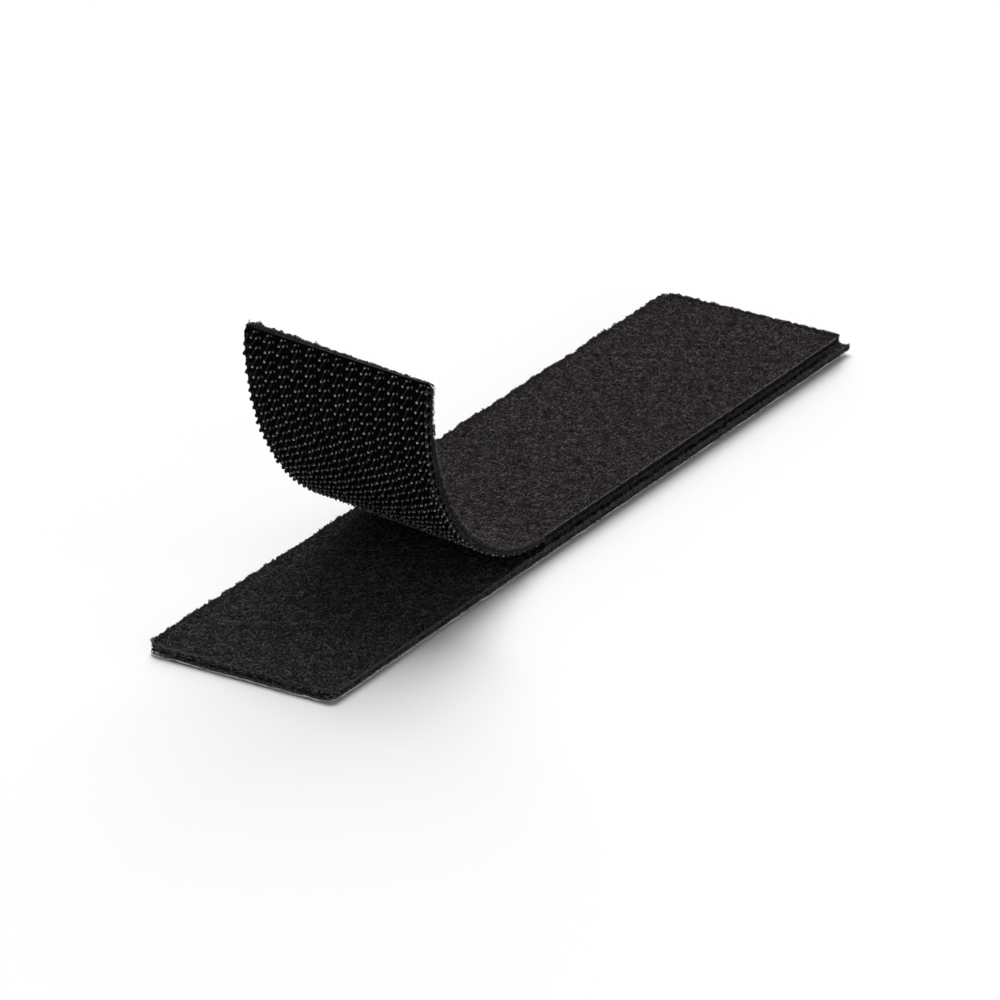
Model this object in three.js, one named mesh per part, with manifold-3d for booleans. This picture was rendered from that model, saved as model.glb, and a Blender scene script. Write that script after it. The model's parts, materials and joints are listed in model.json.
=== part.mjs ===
import * as THREE from 'three';
import { mergeGeometries, mergeVertices } from 'three/addons/utils/BufferGeometryUtils.js';
import Module from 'manifold-3d';

// Two cut strips of back-to-back hook and loop tape, one pressed onto the other, with the near end of the
// upper strip peeled off and curled up. Each tape is a laminate of a hook tape below, a bond film and a
// loop tape above.
// Millimetres, +Z up, +X along the strips towards the far end, origin on the ground under the lower strip.
// Left is +Y and right is -Y, as seen from the curl.

// Strips
const TAPE_WIDTH = 25;
const LOWER_LENGTH = 117.5;
const UPPER_LENGTH = 112.1; // measured along the tape
const FAR_END_STEP = 2.4; // the upper strip stops this far short of the lower strip's far end

// Layers of one tape, from the hook side to the loop side
const HOOK_HEIGHT = 0.72;
const HOOK_CLOTH = 0.22;
const BOND_FILM = 0.06;
const LOOP_CLOTH = 0.46;
const LAYER_GAP = 0.02; // clearance between bonded layers
const STRIP_GAP = 0.45; // loft of the pile that the upper strip's hooks rest in

// Curl: the peeled end rolls up like a cone, leaving the lower strip sooner and bending wider on the left
const CLOSED_LEFT = 64.3; // closed length along the left edge
const CLOSED_RIGHT = 69.6;
const CURL_LEFT = 30.1; // radius of the curl at the left edge
const CURL_RIGHT = 24.5;
const FLEX_LINES = 6; // lines across the peeled end where it bends
const FLEX_GAP = 0.16; // room for the bend at each of those lines
const FACET_TURN = THREE.MathUtils.degToRad(6);

// Hooks: one bent monofilament each, rooted in the hook cloth
const HOOK_ROW_PITCH = 1.25;
const HOOK_COLUMN_PITCH = 1.85;
const HOOK_SELVEDGE = 1.3; // plain edge of the tape on each side of the hook field
const HOOK_ROW_EDGE = 0.35; // plain cloth between a row of hooks and a cut or a flex line
const HOOK_THICKNESS = 0.22;
const HOOK_REACH = 0.42; // stem's middle to the tip
const HOOK_TIP_DROP = 0.3; // crown to the tip
const HOOK_ARM = 0.2; // crown to the underside of the arm, at the stem
const HOOK_BEVEL = 0.07; // crown's edges set back from the stem's back and from the tip
const HOOK_ROOT = 0.1; // depth of the root in the cloth
const HOOK_FOOT_MARGIN = 0.05; // plain cloth round a hook's foot, where facets of the cloth meet
const HOOK_ROW_BOW = 0.1; // a row's ends lie this much nearer to the tip, as weaving leaves it
const HOOK_LEAN = THREE.MathUtils.degToRad(30); // hooks point to the left, turned this far from the tip
const EXPOSED_SPACING = 1; // the peeled end has every hook
const HIDDEN_SPACING = 5; // a closed or downward field has every fifth row and column

const { Manifold, Mesh: ManifoldMesh } = await loadManifold();

const leftEdge = TAPE_WIDTH / 2;
const rightEdge = -TAPE_WIDTH / 2;
const tapeThickness = HOOK_HEIGHT + HOOK_CLOTH + BOND_FILM + LOOP_CLOTH + 2 * LAYER_GAP;
const neutralHeight = HOOK_HEIGHT + HOOK_CLOTH + LAYER_GAP + BOND_FILM / 2;

async function loadManifold() {
  const wasm = await Module();
  wasm.setup();
  return wasm;
}

// A size that changes evenly across the tape, from its right edge to its left one.
function acrossTape(right, left, across) {
  return THREE.MathUtils.mapLinear(across, rightEdge, leftEdge, right, left);
}

// A run gives the bond film's middle, and how far the tape has turned up, at a length from the strip's
// far end and a place across the tape.
function lowerRun(length) {
  return { x: LOWER_LENGTH / 2 - length, z: neutralHeight, turn: 0 };
}

// The upper strip lies flat over its closed length and then follows the arc of the curl.
function upperRun(length, across) {
  const closed = acrossTape(CLOSED_RIGHT, CLOSED_LEFT, across);
  const radius = acrossTape(CURL_RIGHT, CURL_LEFT, across);
  const turn = Math.max(0, length - closed) / radius;
  return {
    x: LOWER_LENGTH / 2 - FAR_END_STEP - Math.min(length, closed) - radius * Math.sin(turn),
    z: neutralHeight + radius * (1 - Math.cos(turn)),
    turn,
  };
}

// A line across a strip gives its length from the far end at each place across: a square cut, or the
// straight line on which the whole width has turned up by one angle.
function cutLine(length) {
  return () => length;
}

function turnLine(turn, shift = 0) {
  return (across) => {
    const closed = acrossTape(CLOSED_RIGHT, CLOSED_LEFT, across);
    const radius = acrossTape(CURL_RIGHT, CURL_LEFT, across);
    return closed + radius * turn + shift;
  };
}

// Lines across a stretch of tape where it needs corners: the lines given and steps along the curl.
function stationsOf(run, lines) {
  const stations = [lines[0]];
  for (let i = 1; i < lines.length; i += 1) {
    const [from, to] = [lines[i - 1], lines[i]];
    const turned = (edge) => run(to(edge), edge).turn - run(from(edge), edge).turn;
    const steps = Math.max(1, Math.ceil(Math.max(turned(rightEdge), turned(leftEdge)) / FACET_TURN));
    for (let step = 1; step <= steps; step += 1) {
      stations.push((across) => THREE.MathUtils.lerp(from(across), to(across), step / steps));
    }
  }
  return stations;
}

// Point of the tape at a height above the bond film's middle.
function tapePoint(run, length, across, height) {
  const { x, z, turn } = run(length, across);
  return new THREE.Vector3(x + height * Math.sin(turn), across, z + height * Math.cos(turn));
}

// A closed skin over sections of four corners each, which follow one another along the tape.
function loft(sections) {
  const corners = sections[0].length;
  const end = corners * (sections.length - 1);
  const index = [0, 2, 1, 0, 3, 2, end, end + 1, end + 2, end, end + 2, end + 3];
  for (let first = 0; first < end; first += corners) {
    for (let i = 0; i < corners; i += 1) {
      const a = first + i;
      const b = first + ((i + 1) % corners);
      index.push(a, b, b + corners, a, b + corners, a + corners);
    }
  }
  const skin = new THREE.BufferGeometry().setFromPoints(sections.flat());
  skin.setIndex(index);
  skin.computeVertexNormals();
  return skin;
}

// One layer of a stretch of tape, between two heights.
function layerGeometry(run, stations, low, high) {
  const sections = stations.map((line) => [
    tapePoint(run, line(rightEdge), rightEdge, low),
    tapePoint(run, line(rightEdge), rightEdge, high),
    tapePoint(run, line(leftEdge), leftEdge, high),
    tapePoint(run, line(leftEdge), leftEdge, low),
  ]);
  return loft(sections);
}

// One hook, drawn as a J from root to tip and extruded to the filament's thickness. X is the way it points.
function hookGeometry() {
  const half = HOOK_THICKNESS / 2;
  const outline = new THREE.Shape([
    new THREE.Vector2(-half, -HOOK_ROOT),
    new THREE.Vector2(half, -HOOK_ROOT),
    new THREE.Vector2(half, HOOK_HEIGHT - HOOK_ARM),
    new THREE.Vector2(HOOK_REACH, HOOK_HEIGHT - HOOK_TIP_DROP),
    new THREE.Vector2(HOOK_REACH - HOOK_BEVEL, HOOK_HEIGHT),
    new THREE.Vector2(HOOK_BEVEL - half, HOOK_HEIGHT),
  ]);
  const hook = new THREE.ExtrudeGeometry(outline, { depth: HOOK_THICKNESS, bevelEnabled: false });
  return hook.translate(0, 0, -half);
}

// Positions of a row of equally spaced marks, as many as fit between two ends, centred between them.
function spread(from, to, pitch) {
  const gaps = Math.floor((to - from) / pitch);
  const first = (from + to - gaps * pitch) / 2;
  return Array.from({ length: gaps + 1 }, (_, i) => first + i * pitch);
}

// Roots of the hooks on a stretch of tape, in rows and columns that run through the whole strip.
// A root on an edge between two facets of the cloth moves off it, so that each hook stands on one facet.
function hookRoots(run, stripLength, stations, spacing, cloth) {
  const rows = spread(HOOK_ROW_EDGE, stripLength - HOOK_ROW_EDGE, spacing * HOOK_ROW_PITCH);
  const columns = spread(rightEdge + HOOK_SELVEDGE, leftEdge - HOOK_SELVEDGE, spacing * HOOK_COLUMN_PITCH);
  return columns.flatMap((across) => {
    const edges = facetEdges(run, stations, across, cloth);
    const bow = HOOK_ROW_BOW * (across / leftEdge) ** 2;
    const room = HOOK_THICKNESS / Math.SQRT2 + HOOK_FOOT_MARGIN + bow;
    const first = edges[0].length + HOOK_ROW_EDGE;
    const last = edges[edges.length - 1].length - HOOK_ROW_EDGE;
    const inside = rows.map((row) => row + bow).filter((length) => length >= first && length <= last);
    const nearest = inside.flatMap((length) => seatsBy(edges, length, room).slice(0, 1));
    return nearest.map(({ length, point }) => ({ turn: run(length, across).turn, point }));
  });
}

// Lengths and points at which the edges of the cloth's facets pass a place across: the stations, and a
// diagonal between each two of them.
function facetEdges(run, stations, across, cloth) {
  const share = (leftEdge - across) / TAPE_WIDTH;
  const crossing = (leftLine, rightLine) => {
    const left = tapePoint(run, leftLine(leftEdge), leftEdge, cloth);
    const right = tapePoint(run, rightLine(rightEdge), rightEdge, cloth);
    const length = THREE.MathUtils.lerp(leftLine(leftEdge), rightLine(rightEdge), share);
    return { length, point: left.lerp(right, share) };
  };
  const edges = [crossing(stations[0], stations[0])];
  for (let i = 1; i < stations.length; i += 1) {
    edges.push(crossing(stations[i - 1], stations[i]));
    edges.push(crossing(stations[i], stations[i]));
  }
  return edges;
}

// Places between the edges that leave a foot room on both sides, the nearest to the wanted length first.
function seatsBy(edges, length, room) {
  const seats = [];
  for (let i = 1; i < edges.length; i += 1) {
    const [from, to] = [edges[i - 1], edges[i]];
    const low = from.length + room;
    const high = to.length - room;
    if (low <= high) {
      const seated = THREE.MathUtils.clamp(length, low, high);
      const share = (seated - from.length) / (to.length - from.length);
      seats.push({ length: seated, point: from.point.clone().lerp(to.point, share) });
    }
  }
  return seats.sort((a, b) => Math.abs(a.length - length) - Math.abs(b.length - length));
}

// Hooks standing on the hook cloth's outer face.
function hookField(roots) {
  const hook = hookGeometry();
  const hooks = roots.map(({ turn, point }) => {
    const fromTip = new THREE.Vector3(Math.cos(turn), 0, -Math.sin(turn));
    const outward = new THREE.Vector3(-Math.sin(turn), 0, -Math.cos(turn));
    const pointing = new THREE.Vector3(0, Math.cos(HOOK_LEAN), 0);
    pointing.addScaledVector(fromTip, Math.sin(HOOK_LEAN));
    const thickness = new THREE.Vector3().crossVectors(pointing, outward);
    const placing = new THREE.Matrix4().makeBasis(pointing, outward, thickness);
    placing.setPosition(point);
    return hook.clone().applyMatrix4(placing);
  });
  return mergeGeometries(hooks);
}

function toSolid(geometry) {
  const bare = geometry.clone();
  bare.deleteAttribute('normal');
  bare.deleteAttribute('uv');
  const merged = mergeVertices(bare);
  const vertProperties = new Float32Array(merged.attributes.position.array);
  const triVerts = new Uint32Array(merged.index.array);
  return new Manifold(new ManifoldMesh({ numProp: 3, vertProperties, triVerts }));
}

function toGeometry(solid) {
  const { vertProperties, triVerts } = solid.getMesh();
  const geometry = new THREE.BufferGeometry();
  geometry.setAttribute('position', new THREE.BufferAttribute(vertProperties, 3));
  geometry.setIndex(new THREE.BufferAttribute(triVerts, 1));
  geometry.computeVertexNormals();
  return geometry;
}

function named(name, geometry, look) {
  const mesh = new THREE.Mesh(geometry, new THREE.MeshStandardMaterial(look));
  mesh.name = name;
  return mesh;
}

// Loop tape: knitted ground cloth with its brushed pile of loops.
function loopTape(name, run, stations) {
  const low = BOND_FILM / 2 + LAYER_GAP;
  const geometry = layerGeometry(run, stations, low, low + LOOP_CLOTH);
  return named(`${name}_loop_tape`, geometry, { color: 0x2e2a2b, roughness: 1, metalness: 0 });
}

// Bond film: the adhesive that holds the two tapes back to back.
function bondFilm(name, run, stations) {
  const geometry = layerGeometry(run, stations, -BOND_FILM / 2, BOND_FILM / 2);
  return named(`${name}_bond_film`, geometry, { color: 0x1a1a1a, roughness: 0.6, metalness: 0 });
}

// Hook tape: woven ground cloth with its hooks.
function hookTape(name, run, stripLength, stations, spacing) {
  const high = -BOND_FILM / 2 - LAYER_GAP;
  const low = high - HOOK_CLOTH;
  const cloth = toSolid(layerGeometry(run, stations, low, high));
  const hooks = toSolid(hookField(hookRoots(run, stripLength, stations, spacing, low)));
  const geometry = toGeometry(cloth.add(hooks));
  return named(`${name}_hook_tape`, geometry, { color: 0x0c0c0c, roughness: 0.35, metalness: 0 });
}

// A stretch of tape between its first and last line: three layers, bonded over the same length.
function tapeStretch(name, run, stripLength, lines, spacing) {
  const stations = stationsOf(run, lines);
  const stretch = new THREE.Group();
  stretch.add(loopTape(name, run, stations));
  stretch.add(bondFilm(name, run, stations));
  stretch.add(hookTape(name, run, stripLength, stations, spacing));
  return stretch;
}

function lowerStrip() {
  const lines = [cutLine(0), cutLine(LOWER_LENGTH)];
  return tapeStretch('lower', lowerRun, LOWER_LENGTH, lines, HIDDEN_SPACING);
}

// The upper strip: its closed run up to the first flex line, then one stretch after each flex line.
// The flex lines share the whole turn equally, so the peeled end lies flat when each gives up its share.
function upperStrip() {
  const strip = new THREE.Group();
  const count = Math.round(FLEX_LINES);
  const share = upperRun(UPPER_LENGTH, 0).turn / count;
  const flexTurns = Array.from({ length: count }, (_, i) => (i + 0.5) * share);
  const closedLines = [cutLine(0), turnLine(0), turnLine(flexTurns[0], -FLEX_GAP / 2)];
  strip.add(tapeStretch('upper', upperRun, UPPER_LENGTH, closedLines, HIDDEN_SPACING));
  flexTurns.forEach((turn, i) => {
    const from = turnLine(turn, FLEX_GAP / 2);
    const to = i + 1 < count ? turnLine(flexTurns[i + 1], -FLEX_GAP / 2) : cutLine(UPPER_LENGTH);
    strip.add(tapeStretch(`tab_${i + 1}`, upperRun, UPPER_LENGTH, [from, to], EXPOSED_SPACING));
  });
  strip.position.z = tapeThickness + STRIP_GAP;
  return strip;
}

const tape = new THREE.Group();
tape.add(lowerStrip());
tape.add(upperStrip());

export default tape;
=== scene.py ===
# %% [markdown]
# # Hook and loop tape: two strips, the upper one peeled back
#
# The object is two cut strips of back-to-back tape, lying one on the other. Each strip is three layers: a
# loop cloth with a brushed pile on top, a film of adhesive, and a hook cloth underneath with rows of nylon
# hooks. The solid model gives the layers, the curl and the hinges. This script dresses them: every loop of
# the pile and every hook is real geometry, because at this size they are what the eye reads as the material.
# The first step loads the solids, whose boxes give the sizes below.

# %% Load the imported frame
import json
import math
from collections import namedtuple

import bpy
import numpy as np
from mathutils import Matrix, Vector


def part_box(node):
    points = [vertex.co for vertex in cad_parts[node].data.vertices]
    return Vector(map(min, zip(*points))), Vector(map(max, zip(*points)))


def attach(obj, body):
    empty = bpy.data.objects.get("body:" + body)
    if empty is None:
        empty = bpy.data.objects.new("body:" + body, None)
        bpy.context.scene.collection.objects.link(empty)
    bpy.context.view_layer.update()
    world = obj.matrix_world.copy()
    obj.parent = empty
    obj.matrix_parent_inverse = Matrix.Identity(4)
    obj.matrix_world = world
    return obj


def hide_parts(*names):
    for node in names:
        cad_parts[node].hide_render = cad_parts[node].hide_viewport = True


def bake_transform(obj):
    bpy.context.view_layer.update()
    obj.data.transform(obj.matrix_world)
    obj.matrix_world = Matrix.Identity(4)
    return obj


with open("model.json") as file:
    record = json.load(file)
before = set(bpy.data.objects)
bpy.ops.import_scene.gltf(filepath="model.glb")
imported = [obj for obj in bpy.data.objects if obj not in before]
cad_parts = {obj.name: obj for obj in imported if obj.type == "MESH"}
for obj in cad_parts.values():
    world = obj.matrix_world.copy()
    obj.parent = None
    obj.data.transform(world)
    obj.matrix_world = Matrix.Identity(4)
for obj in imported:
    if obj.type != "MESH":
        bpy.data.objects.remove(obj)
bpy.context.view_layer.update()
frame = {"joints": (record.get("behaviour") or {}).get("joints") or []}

# %% [markdown]
# ## Sizes of the tape
#
# A finish only fits if it starts from the same sizes as the solids, so most sizes are read from their boxes.
# Heights are counted from the middle of the bond film, because the tape bends around that line: the loop
# side is above it and the hook side below. The hook cloth's own thickness can't be read from a box, since
# the box also holds the hooks, so it is written down once here.

# %% Read the layers
MM = 0.001
HOOK_CLOTH = 0.22 * MM

loop_low, loop_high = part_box("lower_loop_tape")
film_low, film_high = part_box("lower_bond_film")
hook_low, hook_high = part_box("lower_hook_tape")
closed_low, closed_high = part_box("upper_hook_tape")

HALF_WIDTH = loop_high.y
FILM_MIDDLE = (film_low.z + film_high.z) / 2
STRIP_RISE = closed_low.z - hook_low.z  # from the lower strip to the upper one
BOND_HALF = (loop_low.z - hook_high.z) / 2  # half of the film with its glue lines
PILE_TOP = loop_high.z - FILM_MIDDLE
CLOTH_FACE = BOND_HALF + HOOK_CLOTH  # film's middle to the hook cloth's outer face
HOOK_HEIGHT = FILM_MIDDLE - hook_low.z - CLOTH_FACE
print(f"Pile top {PILE_TOP / MM:.2f} mm, hooks {HOOK_HEIGHT / MM:.2f} mm, rise {STRIP_RISE / MM:.2f} mm")

# %% [markdown]
# ## Laying the tape on its path
#
# Cloth, pile and hooks are all easier to design on a flat tape. So each point is first written in tape
# terms: how far along, how far across, and how high above the film. Two functions then lay such points on
# the lower strip, which is straight, or on the upper one, which lies flat up to the peel line and then rolls
# up. The roll is a cone: on the left edge, at +Y, it starts sooner and bends wider than on the right. One
# could instead bend finished meshes with a modifier, but a formula keeps every layer at its exact distance
# and gives the same curl as the solids.

# %% Lay points on the two strips
UPPER_LENGTH = 112.1 * MM  # along the tape
CLOSED_LEFT, CLOSED_RIGHT = 64.3 * MM, 69.6 * MM  # closed length along each edge
CURL_LEFT, CURL_RIGHT = 30.1 * MM, 24.5 * MM  # radius of the curl at each edge


def from_right(right, left, across):
    """A size that changes evenly from the tape's right edge, at -Y, to its left one."""
    return right + (left - right) * (0.5 + across / (2 * HALF_WIDTH))


def peel_line(across):
    """Where along the upper strip the curl begins."""
    return closed_high.x - from_right(CLOSED_RIGHT, CLOSED_LEFT, across)


def curl_radius(across):
    """Radius of the curl at a place across."""
    return from_right(CURL_RIGHT, CURL_LEFT, across)


def lay_lower(along, across, height):
    """Lower strip: along is X, across is Y, and height counts up from the film's middle."""
    return np.stack(np.broadcast_arrays(along, across, FILM_MIDDLE + height), axis=-1)


def lay_upper(along, across, height):
    """Upper strip: along is the X that a point would have if the strip lay flat.

    On an arc of radius R the tape has gone R sin(turn) back and R (1 - cos(turn)) up. Height is carried
    along the normal (sin(turn), cos(turn)), which leans back as the tape turns up.
    """
    start, radius = peel_line(across), curl_radius(across)
    turn = np.maximum(0, start - along) / radius
    x = np.maximum(along, start) - (radius - height) * np.sin(turn)
    z = STRIP_RISE + FILM_MIDDLE + radius * (1 - np.cos(turn)) + height * np.cos(turn)
    return np.stack(np.broadcast_arrays(x, across, z), axis=-1)


hinges = [joint for joint in frame["joints"] if joint["type"] == "hinge"]
TIP = closed_high.x - UPPER_LENGTH
FULL_TURN = (peel_line(0) - TIP) / curl_radius(0)
HINGE_SHARE = FULL_TURN / len(hinges)
print(f"Curl begins at X = {peel_line(0) / MM:.2f} mm and turns {math.degrees(FULL_TURN):.1f} degrees")

# %% [markdown]
# ## Stretches that move
#
# The peeled end bends at six hinges. A cloth that crosses a hinge would have to bend with it, so the upper
# strip is
# dressed in stretches: its closed run, then one stretch across each hinge, with seams halfway between the
# hinges. A stretch that spans two bodies is baked where it lies, and does not turn between them.
# A seam is a straight line of the cone, where the tape has turned by one angle over its whole width.

# %% Cut the strips into stretches
Strip = namedtuple("Strip", "place near far loose")  # loose: 1 if its ends swell, 0 if they lie flat
Stretch = namedtuple("Stretch", "name strip near far bodies")
TIP_CORNERS = {"left": 0.8 * MM, "right": 0.5 * MM}  # radii of the cut corners
END_CORNERS = {"left": 1.5 * MM, "right": 0.3 * MM}
FRONT_CORNERS = {"left": 1.0 * MM, "right": 1.0 * MM}


def square_line(along):
    """A line straight across a strip. A line gives the place along at each place across."""
    return lambda across: along + 0 * across


def rounded_line(along, inward, left, right):
    """A cut end with round corners.

    It gives way inwards by r - sqrt(r^2 - d^2), where d is how far a place is into the last r of a side.
    """
    def line(across):
        radius = np.where(across > 0, left, right)
        into = (np.abs(across) - (HALF_WIDTH - radius)).clip(0, radius)
        return along + inward * (radius - np.sqrt(radius**2 - into**2))

    return line


def turn_line(turn):
    """The line across the upper strip where it has turned up by one angle."""
    return lambda across: peel_line(across) - curl_radius(across) * turn


lower_strip = Strip(lay_lower, loop_low.x, loop_high.x, loose=0)
upper_strip = Strip(lay_upper, TIP, closed_high.x, loose=1)
chain = ["upper_strip"] + [hinge["child"] for hinge in hinges]
tip_line = rounded_line(TIP, 1, **TIP_CORNERS)
end_line = rounded_line(closed_high.x, -1, **END_CORNERS)
front_line = rounded_line(loop_low.x, 1, **FRONT_CORNERS)
seams = [turn_line(k * HINGE_SHARE) for k in range(len(hinges))] + [tip_line]

lower = Stretch("lower", lower_strip, front_line, square_line(loop_high.x), ["lower_strip"])
closed = Stretch("upper", upper_strip, seams[0], end_line, ["upper_strip"])
peeled = [
    Stretch(chain[k + 1], upper_strip, seams[k + 1], seams[k], chain[k:k + 2])
    for k in range(len(hinges))
]
stretches = [lower, closed, *peeled]


def settle(piece, stretch, slot, *nodes):
    """Rides a piece on its stretch's body, or bakes it where it lies when the stretch has two bodies.

    A bend square to its hinge's axis is worked out, but the piece is not bent.
    """
    if len(stretch.bodies) == 1:
        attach(piece, stretch.bodies[0])
    else:
        axis = np.array(hinges[peeled.index(stretch)]["axis"])
        start, end = (stretch.strip.place(line(0.0), 0.0, 0.0) for line in (stretch.far, stretch.near))
        end = end - np.dot(end - start, axis) * axis
        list(stretch.bodies)
        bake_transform(piece)
    if nodes:
        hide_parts(*nodes)


print("Stretches in mm:", {s.name: round((s.far(0) - s.near(0)) / MM, 2) for s in stretches})

# %% [markdown]
# ## Sheets
#
# Everything here is one of two shapes, and both are worked out as whole arrays, so that thousands of loops
# cost one calculation. A layer of the tape is the first, a closed sheet: a grid of points for its upper face,
# one for its lower face, and a rim between them. Each shape also gets a map on the unit square, which lets
# its finish be baked without overlaps.

# %% Sheets as arrays
Shape = namedtuple("Shape", "points quads triangles quad_cells triangle_cells marks")
NO_TRIANGLES = np.zeros((0, 3), int)
NO_CELLS = np.zeros((0, 3, 2))
FACE_CELL = 0.46  # share of the map's height that each face of a sheet takes
RIM_CELL = 0.48, 0.52  # the rim lies between the faces


def sheet_shape(upper, lower, **marks):
    """Closed sheet over a grid: the points of both faces and the values of the marks at each grid point."""
    rows, columns = upper.shape[:2]
    grid = np.arange(rows * columns).reshape(rows, columns)
    border = np.concatenate([grid[:-1, 0], grid[-1, :-1], grid[:0:-1, -1], grid[0, :0:-1]])
    size = rows * columns
    faces = np.stack([grid[:-1, :-1], grid[1:, :-1], grid[1:, 1:], grid[:-1, 1:]], axis=-1).reshape(-1, 4)
    u, v = np.meshgrid(np.linspace(0, 1, rows), np.linspace(0, 1, columns), indexing="ij")
    spot = np.stack([u, v], axis=-1).reshape(-1, 2)
    around = np.linspace(0, 1, len(border) + 1)
    cells = [
        spot[faces] * [1, FACE_CELL] + [0, 1 - FACE_CELL],
        spot[faces[:, ::-1]] * [1, FACE_CELL],
        wall_map(around, *RIM_CELL),
    ]
    return Shape(
        np.concatenate([upper.reshape(-1, 3), lower.reshape(-1, 3)]),
        np.concatenate([faces, faces[:, ::-1] + size, wall_between(border + size, border)]),
        NO_TRIANGLES,
        np.concatenate(cells),
        NO_CELLS,
        {name: np.tile(values.ravel(), 2) for name, values in marks.items()},
    )


def wall_between(low_ring, high_ring):
    """Quads from one closed ring of points up to the next, facing outwards."""
    low_next, high_next = np.roll(low_ring, -1), np.roll(high_ring, -1)
    return np.stack([low_ring, low_next, high_next, high_ring], axis=-1)


def wall_map(around, low, high):
    """Cells of a wall: the way round is u, and the wall's height lies between low and high in v."""
    left, right = around[:-1], around[1:]
    corners = [(left, low), (right, low), (right, high), (left, high)]
    return np.stack([np.stack(np.broadcast_arrays(u, v), axis=-1) for u, v in corners], axis=1)


print("On a sheet's map each face takes", FACE_CELL, "and the rim lies at", RIM_CELL)

# %% [markdown]
# ## Tubes
#
# The second shape is a closed tube round a centreline: a loop of the pile, a hair, a hook or a thread. A
# bevelled curve also gives a tube, but here each tube needs its own place on the map and its own marks for
# the finish, and those are simplest to work out along with its points.

# %% Tubes as arrays
WHOLE_MAP = (0, 0), (1, 1)  # a region of the map: its corner and its extent
CELL_MARGIN = 0.08


def tube_shape(lines, radius, facing, sides, region=WHOLE_MAP, **marks):
    """Closed tubes round many centrelines at once.

    lines holds tubes x points x 3. A ring is centre + radius (cos q side + sin q over), where side is the
    facing direction made square to the line and over is line x side. A line's first and last points are
    the poles that close its ends. A mark is one value to each tube, or one to each point of its line.
    """
    line = np.gradient(lines, axis=1)[:, 1:-1]
    line = line / np.linalg.norm(line, axis=2, keepdims=True)
    side = facing[:, None] - (facing[:, None] * line).sum(axis=2, keepdims=True) * line
    side = side / np.linalg.norm(side, axis=2, keepdims=True)
    over = np.cross(line, side)
    angle = 2 * np.pi * np.arange(sides) / sides
    spoke = np.cos(angle)[:, None] * side[:, :, None] + np.sin(angle)[:, None] * over[:, :, None]
    rings = lines[:, 1:-1, None] + radius[:, :, None, None] * spoke
    count, ring_count = rings.shape[:2]
    points = np.concatenate([lines[:, :1], rings.reshape(count, -1, 3), lines[:, -1:]], axis=1)
    size = points.shape[1]
    ring = 1 + np.arange(ring_count * sides).reshape(ring_count, sides)
    onward = np.roll(ring, -1, axis=1)
    walls = np.stack([ring[:-1], onward[:-1], onward[1:], ring[1:]], axis=-1).reshape(-1, 4)
    first = np.stack([np.zeros(sides, int), onward[0], ring[0]], axis=-1)
    last = np.stack([np.full(sides, size - 1), ring[-1], onward[-1]], axis=-1)
    step = size * np.arange(count)[:, None, None]
    wall_cells, cap_cells = tube_cells(ring_count, sides)
    spots = cell_places(count, *region)
    return Shape(
        points.reshape(-1, 3),
        (walls + step).reshape(-1, 4),
        (np.concatenate([first, last]) + step).reshape(-1, 3),
        spots(wall_cells).reshape(-1, 4, 2),
        spots(cap_cells).reshape(-1, 3, 2),
        {name: tube_marks(values, lines.shape[1], sides) for name, values in marks.items()},
    )


def tube_marks(values, line_points, sides):
    """A mark's values at every point of the tubes: both poles, and each ring's value all the way round."""
    if values.ndim == 1:
        values = np.repeat(values[:, None], line_points, axis=1)
    rings = np.repeat(values[:, 1:-1], sides, axis=1)
    return np.concatenate([values[:, :1], rings, values[:, -1:]], axis=1).ravel()


def tube_cells(ring_count, sides):
    """One tube unrolled on the unit square: u goes round it and v from pole to pole."""
    left = np.tile(np.arange(sides), (ring_count - 1, 1)) / sides
    low = np.repeat(np.arange(1, ring_count)[:, None], sides, axis=1) / (ring_count + 1)
    right, high = left + 1 / sides, low + 1 / (ring_count + 1)
    walls = np.stack([left, low, right, low, right, high, left, high], axis=-1).reshape(-1, 4, 2)
    k = np.arange(sides) / sides
    near, far = np.full(sides, 1 / (ring_count + 1)), np.full(sides, ring_count / (ring_count + 1))
    middle, edge = k + 0.5 / sides, k + 1 / sides
    first = np.stack([middle, 0 * k, edge, near, k, near], axis=-1)
    last = np.stack([middle, 0 * k + 1, k, far, edge, far], axis=-1)
    return walls, np.concatenate([first, last]).reshape(-1, 3, 2)


def cell_places(count, corner, extent):
    """A function that puts one tube's cells into each of count squares of a region of the map."""
    across = math.ceil(math.sqrt(count))
    index = np.arange(count)
    low = np.stack([index % across, index // across], axis=-1)[:, None, None, :]

    def spots(cells):
        inside = CELL_MARGIN + (1 - 2 * CELL_MARGIN) * cells
        return np.array(corner) + np.array(extent) * (low + inside[None]) / across

    return spots


def joined(*shapes):
    """Several shapes as one, with each one's point numbers moved on."""
    starts = np.cumsum([0] + [len(shape.points) for shape in shapes[:-1]])
    moved = list(zip(shapes, starts))
    return Shape(
        np.concatenate([shape.points for shape in shapes]),
        np.concatenate([shape.quads + start for shape, start in moved]),
        np.concatenate([shape.triangles + start for shape, start in moved]),
        np.concatenate([shape.quad_cells for shape in shapes]),
        np.concatenate([shape.triangle_cells for shape in shapes]),
        {name: np.concatenate([shape.marks[name] for shape in shapes]) for name in shapes[0].marks},
    )


print("Walls and caps of a tube with 3 rings of 3 sides:", [len(cells) for cells in tube_cells(3, 3)])

# %% [markdown]
# ## From arrays to meshes
#
# Up to here a shape's points are in tape terms. Its strip's path puts them in place, and foreach_set copies
# whole arrays into a mesh, which is much faster than adding points one by one. Edges that turn sharply stay
# sharp, which keeps a sheet's rim crisp.

# %% Put a shape into a mesh
SHARP = math.radians(50)
piece_log = {}


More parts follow.
